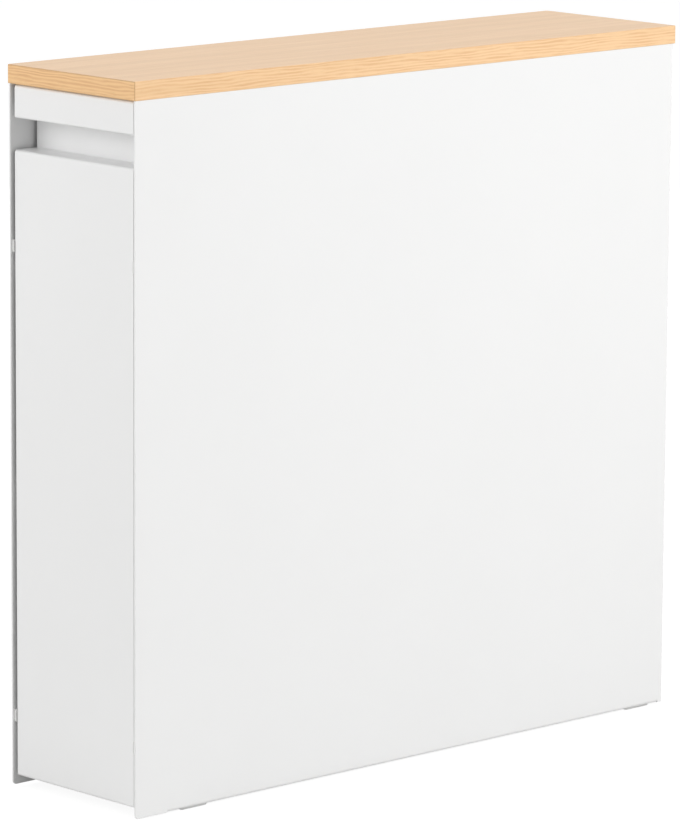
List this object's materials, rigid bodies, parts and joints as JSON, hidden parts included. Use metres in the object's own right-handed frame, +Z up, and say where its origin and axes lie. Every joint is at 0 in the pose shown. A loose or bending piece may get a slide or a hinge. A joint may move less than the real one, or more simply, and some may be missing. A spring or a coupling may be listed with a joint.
{
  "type": "pull-out bathroom storage rack",
  "caption": "Slim white steel storage cabinet with an oak-look top board and a rack on wheels that pulls out of its narrow front by a finger slot.",
  "frame": {"origin": "on the floor, at the middle of the footprint", "axes": "+X across the width to the right seen from the front, +Y along the depth to the back, +Z up; the front with the finger slot faces -Y"},
  "size_m": [0.13, 0.515, 0.5],
  "materials": {
    "white_paint": "satin powder coat",
    "oak_board": "matt oak-look board with straight grain",
    "white_plastic": "matt moulded plastic",
    "grey_rubber": "soft matt rubber",
    "wheel_plastic": "semi-gloss moulded nylon",
    "zinc_steel": "bright zinc plate"
  },
  "bodies": {
    "cabinet": {"top_board": "oak_board", "back_panel": "white_paint", "front_stretcher": "white_paint", "board_screws": "zinc_steel", "back_panel_screws": "zinc_steel", "back_panel_nuts": "zinc_steel", "side_panel_left": "white_paint", "side_panel_right": "white_paint", "top_angle_left": "white_paint", "top_angle_right": "white_paint", "foot_front_left": "white_plastic", "foot_front_right": "white_plastic", "foot_rear_left": "white_plastic", "foot_rear_right": "white_plastic", "glide_lower_left": "white_plastic", "glide_lower_right": "white_plastic", "glide_upper_left": "white_plastic", "glide_upper_right": "white_plastic", "bumper_lower": "grey_rubber", "bumper_upper": "grey_rubber"},
    "rack": {"front_panel": "white_paint", "rack_rear_panel": "white_paint", "front_nuts": "zinc_steel", "rear_screws": "zinc_steel", "rear_nuts": "zinc_steel", "caster_rivets": "zinc_steel", "bottom_tray": "white_paint", "middle_tray": "white_paint", "top_tray": "white_paint", "guard_rod_bottom_left": "white_paint", "guard_rod_bottom_right": "white_paint", "guard_rod_middle_left": "white_paint", "guard_rod_middle_right": "white_paint", "guard_rod_top_left": "white_paint", "guard_rod_top_right": "white_paint", "caster_fork_front_left": "zinc_steel", "caster_fork_front_right": "zinc_steel", "caster_fork_rear_left": "zinc_steel", "caster_fork_rear_right": "zinc_steel", "caster_axle_front_left": "zinc_steel", "caster_axle_front_right": "zinc_steel", "caster_axle_rear_left": "zinc_steel", "caster_axle_rear_right": "zinc_steel"},
    "wheel_front_left": {"caster_wheel_front_left": "wheel_plastic"},
    "wheel_front_right": {"caster_wheel_front_right": "wheel_plastic"},
    "wheel_rear_left": {"caster_wheel_rear_left": "wheel_plastic"},
    "wheel_rear_right": {"caster_wheel_rear_right": "wheel_plastic"}
  },
  "joints": [
    {"name": "rack_pull", "type": "slide", "parent": "cabinet", "child": "rack", "axis": [0, -1, 0], "range_m": [0, 0.448]},
    {"name": "wheel_front_left_roll", "type": "hinge", "parent": "rack", "child": "wheel_front_left", "pos_m": [-0.0372, -0.21585, 0.012], "axis": [1, 0, 0], "continuous": true},
    {"name": "wheel_front_right_roll", "type": "hinge", "parent": "rack", "child": "wheel_front_right", "pos_m": [0.0372, -0.21585, 0.012], "axis": [1, 0, 0], "continuous": true},
    {"name": "wheel_rear_left_roll", "type": "hinge", "parent": "rack", "child": "wheel_rear_left", "pos_m": [-0.0372, 0.2079, 0.012], "axis": [1, 0, 0], "continuous": true},
    {"name": "wheel_rear_right_roll", "type": "hinge", "parent": "rack", "child": "wheel_rear_right", "pos_m": [0.0372, 0.2079, 0.012], "axis": [1, 0, 0], "continuous": true}
  ],
  "couplings": [
    {"joint": "wheel_front_left_roll", "follows": "rack_pull", "rad_per_m": 83.333},
    {"joint": "wheel_front_right_roll", "follows": "rack_pull", "rad_per_m": 83.333},
    {"joint": "wheel_rear_left_roll", "follows": "rack_pull", "rad_per_m": 83.333},
    {"joint": "wheel_rear_right_roll", "follows": "rack_pull", "rad_per_m": 83.333}
  ]
}
